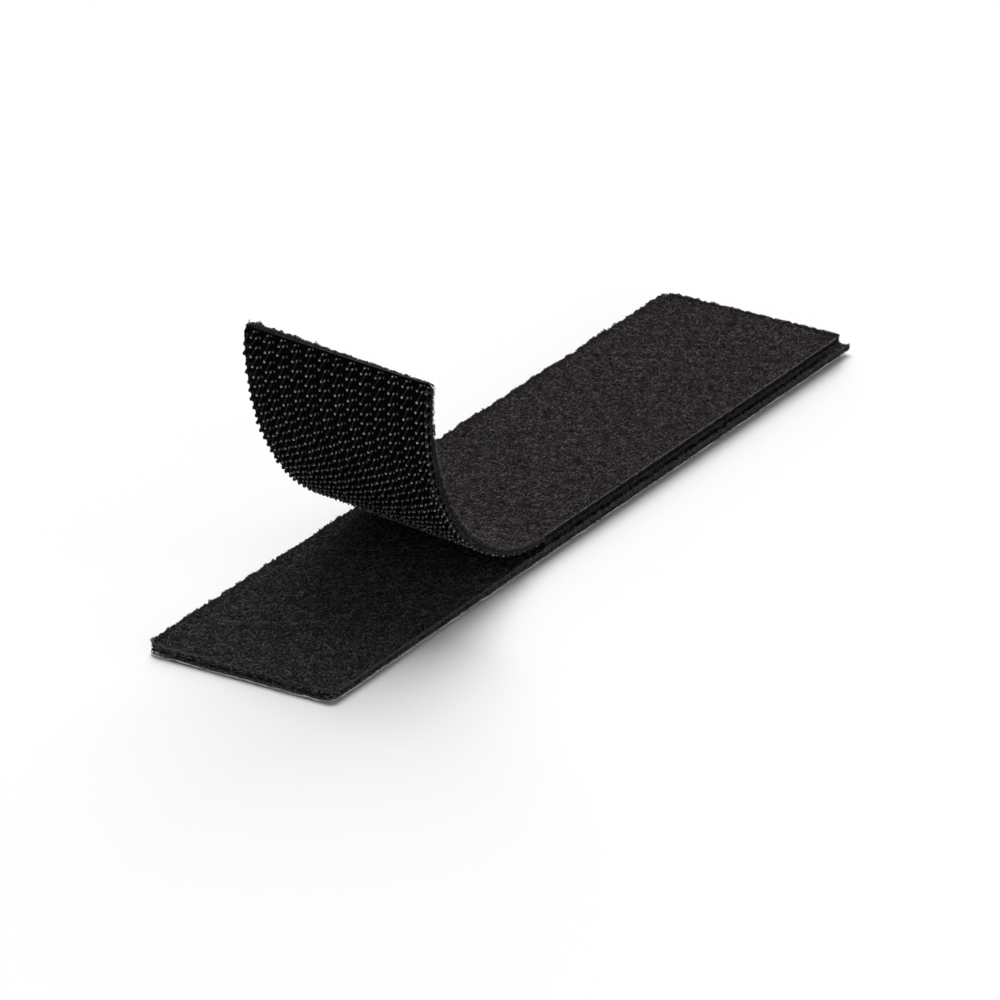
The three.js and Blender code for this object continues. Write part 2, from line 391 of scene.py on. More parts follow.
def make_piece(name, strip, shape, finish):
    """Lays a shape on its strip and puts the arrays into a mesh with its finish, map and marks."""
    mesh = bpy.data.meshes.new(name)
    laid = strip.place(*shape.points.T)
    corners = np.concatenate([shape.quads.ravel(), shape.triangles.ravel()])
    sizes = np.concatenate([np.full(len(shape.quads), 4), np.full(len(shape.triangles), 3)])
    mesh.vertices.add(len(laid))
    mesh.vertices.foreach_set("co", laid.astype(np.float32).ravel())
    mesh.loops.add(len(corners))
    mesh.loops.foreach_set("vertex_index", corners.astype(np.int32))
    mesh.polygons.add(len(sizes))
    mesh.polygons.foreach_set("loop_start", (np.cumsum(sizes) - sizes).astype(np.int32))
    mesh.update(calc_edges=True)
    cells = np.concatenate([shape.quad_cells.ravel(), shape.triangle_cells.ravel()])
    mesh.uv_layers.new(name="OFBake").data.foreach_set("uv", cells.astype(np.float32))
    for mark, values in shape.marks.items():
        mesh.attributes.new(mark, "FLOAT", "POINT").data.foreach_set("value", values.astype(np.float32))
    mesh.shade_smooth()
    mesh.set_sharp_from_angle(angle=SHARP)
    mesh.materials.append(finish)
    piece = bpy.data.objects.new(name, mesh)
    bpy.context.scene.collection.objects.link(piece)
    piece_log[name] = int((sizes - 2).sum())
    return piece


print(f"Edges that turn more than {math.degrees(SHARP):.0f} degrees stay sharp")

# %% [markdown]
# ## Unevenness
#
# Real tape is never quite even. A ripple is a sum of a few sine waves: it gives smooth unevenness of a chosen
# size, and the same seed always gives the same ripple. A noise texture does this inside a finish, but here
# the shapes need it too.

# %% Ripples
Ripple = namedtuple("Ripple", "height size seed")
WAVES = 6
WAVE_LENGTHS = 0.7, 1.4  # shortest and longest wave of a ripple, as shares of its size


def ripple(along, across, *ripples):
    """Smooth unevenness: six sine waves to each ripple, of about its size and of random heading and phase.

    A ripple goes from about -height to height.
    """
    total = 0
    for height, size, seed in ripples:
        rng = np.random.default_rng(seed)
        heading = rng.uniform(0, 2 * np.pi, WAVES)
        phase = rng.uniform(0, 2 * np.pi, WAVES)
        length = size * rng.uniform(*WAVE_LENGTHS, WAVES)
        for turn, shift, wave in zip(heading, phase, length):
            way = along * np.cos(turn) + across * np.sin(turn)
            total = total + height * np.sin(2 * np.pi * way / wave + shift) / math.sqrt(2 * WAVES)
    return total


def spaced(low, high, step):
    """Evenly spaced values from low to high, about a step apart."""
    return np.linspace(low, high, max(2, math.ceil((high - low) / step) + 1))


print("A ripple is", WAVES, "waves,", WAVE_LENGTHS, "times its size")

# %% [markdown]
# ## Shader nodes
#
# A finish is a small tree of shader nodes. These helpers add a node, read a mark from the mesh, make noise,
# and spread or mix colours, so that each finish after them reads as a few lines.

# %% Helpers for shader nodes


def node(tree, kind, **inputs):
    """Adds a shader node, and sets or links the inputs that are named."""
    added = tree.nodes.new("ShaderNode" + kind)
    for key, value in inputs.items():
        socket = added.inputs[key.replace("_", " ")]
        if isinstance(value, bpy.types.NodeSocket):
            tree.links.new(value, socket)
        else:
            socket.default_value = value
    return added


def mark_value(tree, name):
    """The value of a mark on the mesh."""
    attribute = node(tree, "Attribute")
    attribute.attribute_name = name
    return attribute.outputs["Fac"]


def colour_ramp(tree, factor, *stops):
    """A colour that follows a factor through stops of (place, colour)."""
    ramp = node(tree, "ValToRGB", Fac=factor)
    while len(ramp.color_ramp.elements) < len(stops):
        ramp.color_ramp.elements.new(1)
    for element, (place, colour) in zip(ramp.color_ramp.elements, stops):
        element.position = place
        element.color = (*colour, 1)
    return ramp.outputs["Color"]


def colour_mix(tree, factor, first, second, way="MIX"):
    """Mixes two colours by a factor."""
    mixed = tree.nodes.new("ShaderNodeMix")
    mixed.data_type = "RGBA"
    mixed.blend_type = way
    for index, value in ((0, factor), (6, first), (7, second)):
        if isinstance(value, bpy.types.NodeSocket):
            tree.links.new(value, mixed.inputs[index])
        else:
            mixed.inputs[index].default_value = value
    return mixed.outputs[2]


def object_noise(tree, size, detail=2.0):
    """Noise of a given grain size on Object coordinates."""
    place = node(tree, "TexCoord").outputs["Object"]
    return node(tree, "TexNoise", Vector=place, Scale=1 / size, Detail=detail).outputs["Fac"]


def new_finish(name, **shader_values):
    """A material with its shader's constant values set. Returns it, its node tree and its shader."""
    finish = bpy.data.materials.new(name)
    finish.use_nodes = True
    shader = finish.node_tree.nodes["Principled BSDF"]
    for key, value in shader_values.items():
        shader.inputs[key.replace("_", " ")].default_value = value
    return finish, finish.node_tree, shader


print("Shader helpers are ready")

# %% [markdown]
# ## Finishes
#
# All the yarns are black nylon, so the finishes differ in how they meet light. The pile is matte and a little
# warm, with loops that vary in shade and patches that lean warmer or cooler; its melted line is light grey,
# partly as a painted highlight. The hooks are drawn filament, with dull legs and small bright glints painted
# on their knuckles and crowns. The cloths under them are darker and rougher, and the loop cloth's cut sides
# are painted near black as painted shade. Shade and patch come from marks on the mesh, which move with the
# tape when it bends. A constant goes straight onto the shader.

# %% Make the finishes
GRAIN_LOW, GRAIN_HIGH = 0.3, 0.7  # the part of a noise that its colours are spread over


def grey(value):
    """A colour without a hue."""
    return value, value, value


def grained_finish(name, grain, dark, light, strength, depth, **shader_values):
    """A finish whose colour and bumps both follow one noise. Returns it, its node tree, shader and colour."""
    finish, tree, shader = new_finish(name, **shader_values)
    noise = object_noise(tree, grain)
    colour = colour_ramp(tree, noise, (GRAIN_LOW, dark), (GRAIN_HIGH, light))
    tree.links.new(colour, shader.inputs["Base Color"])
    bump = node(tree, "Bump", Strength=strength, Distance=depth, Height=noise)
    tree.links.new(bump.outputs["Normal"], shader.inputs["Normal"])
    return finish, tree, shader, colour


def brushed_pile():
    """Pile loops: charcoal that runs from a deep shade to a light one, warmer or cooler by patch.

    The far end of the ramp is the light grey of the line where loops are melted together at a slit edge,
    partly a painted highlight of that edge.
    """
    finish, tree, shader = new_finish("brushed_pile", Roughness=0.8, Specular_IOR_Level=0.2)
    shade = mark_value(tree, "shade")
    # Painted highlight, in part: the last stop is the melted line's light grey.
    melted = (1.0, (0.15, 0.145, 0.145))
    warm = colour_ramp(tree, shade, (0.0, (0.012, 0.009, 0.0095)), (0.8, (0.188, 0.136, 0.148)), melted)
    cool = colour_ramp(tree, shade, (0.0, (0.008, 0.009, 0.009)), (0.8, (0.126, 0.132, 0.130)), melted)
    colour = colour_mix(tree, mark_value(tree, "patch"), cool, warm)
    tree.links.new(colour, shader.inputs["Base Color"])
    return finish


def loop_ground():
    """Knitted ground under the pile: charcoal between the loops, and near black on its cut sides as painted
    shade.
    """
    finish, tree, shader, face = grained_finish(
        "loop_ground",
        grain=0.25 * MM,
        dark=(0.008, 0.007, 0.007),
        light=(0.020, 0.017, 0.018),
        strength=0.6,
        depth=0.1 * MM,
        Roughness=0.95,
        Specular_IOR_Level=0.05,
    )
    # Painted shade: where the rim mark is set, the cut sides are painted near black.
    colour = colour_mix(tree, mark_value(tree, "rim"), face, (*grey(0.004), 1))
    tree.links.new(colour, shader.inputs["Base Color"])
    return finish


def adhesive_film():
    """Bond film: black adhesive with a satin, slightly uneven face."""
    return grained_finish(
        "adhesive_film",
        grain=0.6 * MM,
        dark=grey(0.003),
        light=grey(0.006),
        strength=0.3,
        depth=0.05 * MM,
        Roughness=0.5,
        Specular_IOR_Level=0.1,
    )[0]


def hook_ground():
    """Woven ground of the hook side: deep black yarn, dull, with the grain of its threads."""
    return grained_finish(
        "hook_ground",
        grain=0.12 * MM,
        dark=grey(0.001),
        light=grey(0.007),
        strength=0.5,
        depth=0.04 * MM,
        Roughness=0.9,
        Specular_IOR_Level=0.0,
    )[0]


def hook_filament():
    """Drawn nylon filament: dark, dull legs, and a smoother crown that is painted light grey as a painted
    glint.
    """
    finish, tree, shader = new_finish("hook_filament", Specular_IOR_Level=0.2)
    crown = mark_value(tree, "crown")
    # Painted glint: the crown mark paints knuckles and crowns light grey, and the legs near black.
    colour = colour_ramp(tree, crown, (0.0, grey(0.002)), (0.2, grey(0.03)), (1.0, grey(0.56)))
    tree.links.new(colour, shader.inputs["Base Color"])
    polish = node(tree, "MapRange", Value=crown, From_Max=0.4, To_Min=0.95, To_Max=0.4)
    tree.links.new(polish.outputs["Result"], shader.inputs["Roughness"])
    return finish


def pale_thread():
    """Edge thread of the lower hook cloth: light grey."""
    return new_finish("pale_thread", Base_Color=(*grey(0.75), 1), Roughness=0.6)[0]


finishes = {
    make.__name__: make()
    for make in (brushed_pile, loop_ground, adhesive_film, hook_ground, hook_filament, pale_thread)
}
print("Finishes:", ", ".join(finishes))

# %% [markdown]
# ## Ground cloths and bond film
#
# The three layers of a tape are thin sheets. The loop side's ground is a knit pulled uneven by its pile, so
# its upper face is rippled. The hook side's ground is a plain weave: its outer face rises and falls with the
# threads, which the product of two sine waves gives. The film is smooth and stops a hair short of the slit
# edges. A texture could fake the weave, but the edge of the tape shows its thickness, so it is geometry.

# %% Make the sheets
KNIT = 0.14 * MM  # thickness of the loop side's ground
PILE_FOOT = BOND_HALF + KNIT  # where the loops leave it
GROUND_RIPPLE = Ripple(0.03 * MM, 1.6 * MM, 1)
GROUND_STEP = 0.6 * MM
FILM_STEP = 1.2 * MM
FILM_INSET = 0.04 * MM
SWELL_FROM = 0.9 * MM  # width of the swollen edge
SWELL_OUT, SWELL_UP = 0.22 * MM, 0.22 * MM
EDGE_TUFTS = Ripple(0.4, 2.2 * MM, 7), Ripple(0.3, 1.0 * MM, 8)
TIP_SWELL, END_SWELL = (0.1, 1.0), (0.6, 1.0)  # shares at the right and left corners of the cut ends
LOOSEST = 1.6  # how much further the peeled end's tip and right edge swell than the rest
PEEL_OVER = 8 * MM  # length over which the right edge comes loose
SOLID_EDGE = 0.75  # share of the pile's depth that the ground fills at a swollen edge
EDGE_HAIR = 0.001 * MM  # a point this close to an edge is on it
WIDTH_SAMPLES = 201  # places across where a cloth's length is measured
HOOK_ROW = 1.25 * MM
HOOK_COLUMN = 1.85 * MM
THREADS_PER_HOOK = 2  # weave waves in one hook pitch, each way
WEAVE_DEPTH = 0.035 * MM
OPEN_SAMPLES, HIDDEN_SAMPLES = 4, 2  # grid steps in one weave wave


def stretch_grid(stretch, step_along, step_across, inset=0.0):
    """Along and across values of a grid that fills a stretch between its two lines."""
    across = spaced(inset - HALF_WIDTH, HALF_WIDTH - inset, step_across)
    near, far = stretch.near(across), stretch.far(across)
    share = spaced(0, 1, step_along / np.max(far - near))[:, None]
    along = near + share * (far - near)
    return along, np.broadcast_to(across, along.shape)


def swollen(points, strip):
    """Swells the pile and its ground where nothing holds them: at the left edge and round the peeled end.

    Within a millimetre of such an edge a point moves out and up, most at the edge itself, in small tufts.
    """
    along, across, height = points[..., 0], points[..., 1], points[..., 2]
    left, right, tip, end = edges = loose_edges(along, across, strip)
    share = np.maximum.reduce(edges) * ((height - BOND_HALF) / (PILE_TOP - BOND_HALF)).clip(0, 1)
    tuft = 1 + ripple(along, across, *EDGE_TUFTS)
    out = SWELL_OUT * tuft * share
    along, across = along + out * (end - LOOSEST * tip), across + out * (left - LOOSEST * right)
    return np.stack([along, across, height + SWELL_UP * tuft * share], axis=-1)


def loose_edges(along, across, strip):
    """How much a point belongs to each loose edge, from 0 to 1: left, peeled right, tip and far end.

    At the lower strip's far end, which is cut flat, the left edge's swelling fades out.
    """
    flat_end = np.maximum(strip.loose, ease((strip.far - along) / SWELL_FROM))
    left = ease(1 + (across - HALF_WIDTH) / SWELL_FROM) * flat_end
    peel = ease((peel_line(across) - along) / PEEL_OVER) * strip.loose
    peel = peel * ease((along - strip.near) / (2 * PEEL_OVER))
    right = ease(1 - (across + HALF_WIDTH) / SWELL_FROM) * peel
    tip = ease(1 - (along - strip.near) / SWELL_FROM) * strip.loose * from_right(*TIP_SWELL, across)
    end = ease(1 - (strip.far - along) / SWELL_FROM) * strip.loose * from_right(*END_SWELL, across)
    return left, right, tip, end


def ease(share):
    """Goes smoothly from 0 to 1 as a share does, and stays there outside it."""
    share = share.clip(0, 1)
    return share * share * (3 - 2 * share)


def loop_sheet(stretch):
    """Loop cloth's ground: rippled above, flat on the film, and painted near black as painted shade where it
    is slit or cut clean.
    """
    along, across = stretch_grid(stretch, GROUND_STEP, GROUND_STEP)
    top = PILE_FOOT + ripple(along, across, GROUND_RIPPLE)
    loose = np.maximum.reduce(loose_edges(along, across, stretch.strip))
    top = top + SOLID_EDGE * (PILE_TOP - PILE_FOOT) * loose
    upper = swollen(np.stack([along, across, top], axis=-1), stretch.strip)
    lower_face = np.stack([along, across, np.full(top.shape, BOND_HALF)], axis=-1)
    slit = (across <= EDGE_HAIR - HALF_WIDTH) & (stretch not in peeled)
    cut = (along <= EDGE_HAIR + stretch.near(across)) & (stretch is lower)
    return sheet_shape(upper, lower_face, rim=(slit | cut).astype(float))


def film_sheet(stretch):
    """Bond film: flat faces, set in a little from the tape's edges."""
    along, across = stretch_grid(stretch, FILM_STEP, FILM_STEP, FILM_INSET)
    level = np.full(along.shape, BOND_HALF)
    return sheet_shape(np.stack([along, across, level], axis=-1), np.stack([along, across, -level], axis=-1))


def hook_sheet(stretch):
    """Hook cloth's ground, woven on its outer face: depth cos(2 pi along / a) cos(2 pi across / b)."""
    samples = OPEN_SAMPLES if stretch in peeled else HIDDEN_SAMPLES
    wave_along, wave_across = HOOK_ROW / THREADS_PER_HOOK, HOOK_COLUMN / THREADS_PER_HOOK
    along, across = stretch_grid(stretch, wave_along / samples, wave_across / samples)
    weave = np.cos(2 * np.pi * along / wave_along) * np.cos(2 * np.pi * across / wave_across)
    inner = np.full(along.shape, -BOND_HALF)
    outer = WEAVE_DEPTH * weave - CLOTH_FACE
    return sheet_shape(np.stack([along, across, inner], axis=-1), np.stack([along, across, outer], axis=-1))


for stretch in stretches:
    name = stretch.name
    ground = make_piece(f"{name}_loop_cloth", stretch.strip, loop_sheet(stretch), finishes["loop_ground"])
    film = make_piece(f"{name}_film", stretch.strip, film_sheet(stretch), finishes["adhesive_film"])
    weave = make_piece(f"{name}_hook_cloth", stretch.strip, hook_sheet(stretch), finishes["hook_ground"])
    settle(ground, stretch, "loop_pile", f"{name}_loop_tape")
    settle(film, stretch, "bond_film", f"{name}_bond_film")
    settle(weave, stretch, "hook_cloth", f"{name}_hook_tape")
    if stretch in (lower, closed):
        width = np.linspace(-HALF_WIDTH, HALF_WIDTH, WIDTH_SAMPLES)
        lengths = stretch.far(width) - stretch.near(width)
print("Sheets:", sum(piece_log.values()), "triangles in", len(piece_log), "pieces")

# %% [markdown]
# ## The pile
#
# The loop face is a brushed pile: fine nylon loops that lie every way, with darker gaps between them. Hair
# particles could cover it, but here each loop is a
# thin closed tube that leaves the ground, arches over and goes back in. Roots sit on a jittered grid, which
# covers evenly without showing rows. The right edge is slit: points that pass it slide back to it, and a thin
# melted line runs along it where the strips lie flat. Short loops stick out as a fringe on the left edge and
# the cut ends, and also on the right edge of the lower strip and of the peeled end.

# %% Loops and hairs
Yarn = namedtuple("Yarn", "length bow sway radius")  # ranges of length and radius, spreads of bow and sway
LOOP = Yarn((0.35 * MM, 0.95 * MM), 0.13 * MM, 0.06 * MM, (0.032 * MM, 0.048 * MM))
HAIR = Yarn((1.0 * MM, 2.2 * MM), 0.45 * MM, 0.15 * MM, 0.026 * MM)  # all equally thin
LOOP_POINTS = np.linspace(0, 1, 5)
LOOP_RINGS, LOOP_SIDES = len(LOOP_POINTS) - 2, 3
OPEN_PILE, COVERED_PILE = 12.0, 5.0  # loops on a square millimetre
HAIR_SHARE = 0.005  # loose hairs beside the loops
LINE_SAMPLES = 9  # places across where a line's ends are looked for
ARCH_POWER = 0.7  # under 1, which gives a loop a broad top
LOOP_ROOT = 0.03 * MM  # a loop's feet lie this deep in the ground
LOOP_LIFT, HAIR_LIFT = (0.35, 0.95), (0.9, 1.4)  # shares of the pile's depth
LIFT_RIPPLE = Ripple(0.1, 4 * MM, 2)
LOOP_FUZZ, HAIR_FUZZ = (-0.08 * MM, 0.1 * MM), (0, 0.25 * MM)  # how far they may pass the tape's edges
SLIT_FUZZ = 0.3  # share of that at the slit edge
PILE_SHADE, LEAST_SHADE = 0.8, 0.05  # lightest and deepest shade of a loop
SHADE_POWER = 2.1  # over 1, which makes dark loops more common
CLUMPS = Ripple(0.1, 2.5 * MM, 3), Ripple(0.1, 0.9 * MM, 10)
WARM_PATCHES = Ripple(0.8, 2.6 * MM, 4)
LOOP_CELLS, HAIR_CELLS = ((0, 0.2), (1, 0.8)), ((0, 0.1), (0.5, 0.09))  # regions of the map


def pile_roots(rng, near, far, per_square_mm):
    """A square grid of roots between two lines, at the wanted density, each moved up to half a step."""
    step = MM / math.sqrt(per_square_mm)
    width = np.linspace(-HALF_WIDTH, HALF_WIDTH, LINE_SAMPLES)
    along = np.arange(near(width).min(), far(width).max(), step)
    across = np.arange(step / 2 - HALF_WIDTH, HALF_WIDTH, step)
    roots = np.stack(np.meshgrid(along, across, indexing="ij"), axis=-1).reshape(-1, 2)
    roots = roots + rng.uniform(-0.5, 0.5, roots.shape) * step
    inside = (roots[:, 0] >= near(roots[:, 1])) & (roots[:, 0] < far(roots[:, 1]))
    return roots[inside]


def arch_lines(roots, heading, length, lift, bow, sway, foot):
    """Centrelines of arched loops.

    With t from 0 to 1: forward = length (t - 1/2), sideways = bow sin(pi t) + sway sin(2 pi t), and
    height = foot + lift sin(pi t)^0.7. The heading turns forward and sideways into along and across.
    """
    t = LOOP_POINTS[None]
    arch = np.sin(np.pi * t).clip(0)
    forward = length[:, None] * (t - 0.5)
    sideways = bow[:, None] * arch + sway[:, None] * np.sin(2 * np.pi * t)
    cosine, sine = np.cos(heading)[:, None], np.sin(heading)[:, None]
    along = roots[:, :1] + forward * cosine - sideways * sine
    across = roots[:, 1:] + forward * sine + sideways * cosine
    return np.stack([along, across, foot[:, None] + lift[:, None] * arch**ARCH_POWER], axis=-1)


def trimmed(lines, strip, fuzz):
    """Slides points that pass the strip's edges or ends back to them, give or take each loop's fuzz."""
    fuzz = fuzz[:, None]
    along = np.clip(lines[..., 0], strip.near - fuzz, strip.far + fuzz)
    across = np.clip(lines[..., 1], -HALF_WIDTH - SLIT_FUZZ * fuzz, HALF_WIDTH + fuzz)
    return np.stack([along, across, lines[..., 2]], axis=-1)


def across_heading(heading):
    """Level direction square to a heading, which a loop's rings are turned to."""
    return np.stack([-np.sin(heading), np.cos(heading), np.zeros(len(heading))], axis=-1)


def ring_radii(rng, yarn, count):
    """A random radius for each loop of a yarn, the same at all of its rings."""
    return np.repeat(rng.uniform(*yarn.radius, count)[:, None], LOOP_RINGS, axis=1)


def pile_loops(rng, strip, near, far, density, warmth):
    """Loops of the pile with their shade, and the smooth patches where it leans warm or cool."""
    roots = pile_roots(rng, near, far, density)
    count = len(roots)
    heading = rng.uniform(0, 2 * np.pi, count)
    lift = rng.uniform(*LOOP_LIFT, count) + ripple(*roots.T, LIFT_RIPPLE)
    lines = arch_lines(
        roots,
        heading,
        length=rng.uniform(*LOOP.length, count),
        lift=(PILE_TOP - PILE_FOOT) * lift,
        bow=rng.normal(0, LOOP.bow, count),
        sway=rng.normal(0, LOOP.sway, count),
        foot=np.full(count, PILE_FOOT - LOOP_ROOT),
    )
    lines = swollen(trimmed(lines, strip, rng.uniform(*LOOP_FUZZ, count)), strip)
    radius = ring_radii(rng, LOOP, count)
    shade = PILE_SHADE * rng.random(count) ** SHADE_POWER + LEAST_SHADE + ripple(*roots.T, *CLUMPS)
    shade = shade.clip(0, PILE_SHADE)
    patch = (warmth + ripple(*roots.T, WARM_PATCHES)).clip(0, 1)
    facing = across_heading(heading)
    return tube_shape(lines, radius, facing, LOOP_SIDES, LOOP_CELLS, shade=shade, patch=patch)


def loose_hairs(rng, strip, near, far, density):
    """Longer, thinner and lighter hairs that stand a little proud of the pile."""
    roots = pile_roots(rng, near, far, density * HAIR_SHARE)
    count = len(roots)
    heading = rng.uniform(0, 2 * np.pi, count)
    lines = arch_lines(
        roots,
        heading,
        length=rng.uniform(*HAIR.length, count),
        lift=(PILE_TOP - PILE_FOOT) * rng.uniform(*HAIR_LIFT, count),
        bow=rng.normal(0, HAIR.bow, count),
        sway=rng.normal(0, HAIR.sway, count),
        foot=np.full(count, PILE_FOOT),
    )
    lines = swollen(trimmed(lines, strip, rng.uniform(*HAIR_FUZZ, count)), strip)
    radius = np.full((count, LOOP_RINGS), HAIR.radius)
    light = np.full(count, PILE_SHADE)
    facing = across_heading(heading)
    return tube_shape(lines, radius, facing, LOOP_SIDES, HAIR_CELLS, shade=light, patch=light)


print("Loops on a square millimetre:", OPEN_PILE, "in the open and", COVERED_PILE, "under the upper strip")

# %% [markdown]
# ## The melted line
#
# Slitting melts the loops along the cut into a thin line on the right edge of both strips. Its light grey is
# partly a painted highlight, the light that the edge catches. It is one long tube, and ripples in its height
# and thickness keep it from looking drawn.

# %% Make the melted line
MELTED_POINTS, THREAD_SIDES = 160, 5
MELTED_DROP, MELTED_RISE = 0.1 * MM, 0.03 * MM  # how far it lies under the pile's top, and how far it wanders
MELTED_RADIUS, MELTED_VARIES, MELTED_LEAST = 0.03 * MM, 0.02 * MM, 0.008 * MM
MELTED_WANDER, MELTED_SWELL = Ripple(0.02 * MM, 2.2 * MM, 5), Ripple(1.0, 0.9 * MM, 6)
# The melted line's shade picks that light grey, partly a painted highlight.
MELTED_HIGHLIGHT_SHADE, MELTED_PATCH = 1.0, 0.3
MELTED_CELLS = (0.52, 0), (0.46, 0.18)


def melted_line(near, far):
    """The line of melted loops along the right edge: a tube whose thickness wanders, light grey partly as a
    painted highlight.
    """
    along = np.linspace(near(-HALF_WIDTH), far(-HALF_WIDTH), MELTED_POINTS)
    swell = ripple(along, 0, MELTED_SWELL)
    across = ripple(along, 0, MELTED_WANDER) - HALF_WIDTH
    line = np.stack([along, across, PILE_TOP - MELTED_DROP + MELTED_RISE * swell], axis=-1)
    radius = (MELTED_RADIUS + MELTED_VARIES * swell)[1:-1].clip(MELTED_LEAST)
    facing = np.array([[0, 0, 1.0]])
    marks = {"shade": np.full(1, MELTED_HIGHLIGHT_SHADE), "patch": np.full(1, MELTED_PATCH)}
    return tube_shape(line[None], radius[None], facing, THREAD_SIDES, MELTED_CELLS, **marks)


print(f"Melted line's radius: {MELTED_RADIUS / MM:.2f} mm, give or take {MELTED_VARIES / MM:.2f} mm")

# %% [markdown]
# ## Fringes
#
# Seen against the light floor, the outline of the pile is soft: short loops stick out past the tape's edges.
# Each fringe is a set of places on one edge, with a heading, a reach and a shade. One function then makes the
# loops of all fringes of a piece, in the same way as the pile itself.

# %% Make the fringes
Fringe = namedtuple("Fringe", "along across heading reach top shade")
EDGE_PILE = 14.0  # fringe loops on a millimetre of edge
END_PILE = 3 * EDGE_PILE  # and on a millimetre of a cut end
LEFT_REACH, LEFT_SHADES = (0.16 * MM, 0.32 * MM), (0.05, 0.5)
RIGHT_REACH, RIGHT_SHADES = (0.15 * MM, 0.35 * MM), (0.2, 0.75)
END_REACH, END_SHADES = (0.2 * MM, 0.32 * MM), (0.2, 0.6)  # at an end's right corner and at its left one
REACH_VARIES, SHADE_VARIES = (0.6, 1.1), (0.3, 1.2)  # shares of those
END_TUFTS = Ripple(0.5, 1.2 * MM, 12)
LEFT_LEAN = 1.3  # over 1, which puts more of an end's loops towards its left corner
LOFT_OUT, LOFT_UP = 0.5, (0.3, 1.0)  # shares of a loft by which teased pile sticks out and stands up
EDGE_YARN = Yarn(None, 0.1 * MM, 0.04 * MM, (0.034 * MM, 0.05 * MM))  # as long as its fringe reaches
FRINGE_TURN = 0.5  # spread of the loops' headings, in radians
FRINGE_ROOT = 0.15 * MM  # loops begin this far inside their edge
FRINGE_FOOT, FRINGE_LIFT = (0.2, 0.8), (0.3, 1.0)  # shares of the pile's top, and of the rest
FRINGE_PATCH = 0, 0.6
FRINGE_CELLS = (0, 0), (0.5, 0.09)


def left_fringe(rng, near, far):
    """Pile that stands out from the left edge."""
    low, high = near(HALF_WIDTH), far(HALF_WIDTH)
    along = rng.uniform(low, high, int(EDGE_PILE * (high - low) / MM))
    reach = rng.uniform(*LEFT_REACH, len(along))
    shade = rng.uniform(*LEFT_SHADES, len(along))
    return Fringe(along, 0 * along + HALF_WIDTH, 0 * along + np.pi / 2, reach, 0 * along + PILE_TOP, shade)


def right_fringe(rng, near, far, loft):
    """Short pile past the right edge, teased up by a loft as far as the upper strip reaches."""
    low, high = near(-HALF_WIDTH), far(-HALF_WIDTH)
    along = rng.uniform(low, high, int(EDGE_PILE * (high - low) / MM))
    loft = np.where(along < closed_high.x, loft, 0)
    reach = rng.uniform(*RIGHT_REACH, len(along)) + LOFT_OUT * loft
    top = PILE_TOP + loft * rng.uniform(*LOFT_UP, len(along))
    shade = rng.uniform(*RIGHT_SHADES, len(along))
    return Fringe(along, 0 * along - HALF_WIDTH, 0 * along - np.pi / 2, reach, top, shade)


def end_fringe(rng, line, heading):
    """Pile that sticks out past a cut end, more of it and paler towards the left edge."""
    across = HALF_WIDTH * (1 - 2 * rng.random(int(END_PILE * 2 * HALF_WIDTH / MM)) ** LEFT_LEAN)
    reach = from_right(*END_REACH, across) * rng.uniform(*REACH_VARIES, len(across))
    reach = reach * (1 + ripple(0, across, END_TUFTS))
    shade = from_right(*END_SHADES, across) * rng.uniform(*SHADE_VARIES, len(across))
    top = 0 * across + PILE_TOP
    return Fringe(line(across), across, 0 * across + heading, reach, top, shade.clip(0, PILE_SHADE))


def fringe_loops(rng, strip, fringes):
    """Loops of one or more fringes: each leaves its edge outwards and stands up to its top height."""
    along, across, heading, reach, top, shade = (np.concatenate(values) for values in zip(*fringes))
    count = len(along)
    heading = heading + rng.normal(0, FRINGE_TURN, count)
    out = reach / 2 - FRINGE_ROOT
    roots = np.stack([along + out * np.cos(heading), across + out * np.sin(heading)], axis=-1)
    foot = rng.uniform(*FRINGE_FOOT, count) * PILE_TOP
    lines = arch_lines(
        roots,
        heading,
        length=reach,
        lift=(top - foot) * rng.uniform(*FRINGE_LIFT, count),
        bow=rng.normal(0, EDGE_YARN.bow, count),
        sway=rng.normal(0, EDGE_YARN.sway, count),
        foot=foot,
    )
    radius = ring_radii(rng, EDGE_YARN, count)
    facing = across_heading(heading)
    patch = rng.uniform(*FRINGE_PATCH, count)
    lines = swollen(lines, strip)
    return tube_shape(lines, radius, facing, LOOP_SIDES, FRINGE_CELLS, shade=shade, patch=patch)


print("Fringe loops on a millimetre:", EDGE_PILE, "on an edge and", END_PILE, "on a cut end")

# %% [markdown]
# ## Growing the pile
#
# The pile is grown in pieces of a moderate size. Where the upper strip lies on the lower one, the pile is
# pressed into the hooks and hardly seen, so it is thinner there, and its edge is teased up. On the peeled end
# each stretch has a piece of its own.

# %% Grow the pile
UPPER_WARMTH, LOWER_WARMTH = 0.7, 0.2  # share of warm shades, on average
OPEN_LOFT, TEASED_LOFT, PEELED_LOFT = 0.1 * MM, 0.45 * MM, 0.05 * MM
FRONT_SETBACK, FRONT_TUFTS = 0.22 * MM, Ripple(1.0, 1.1 * MM, 11)
PEELED_SEED = 20


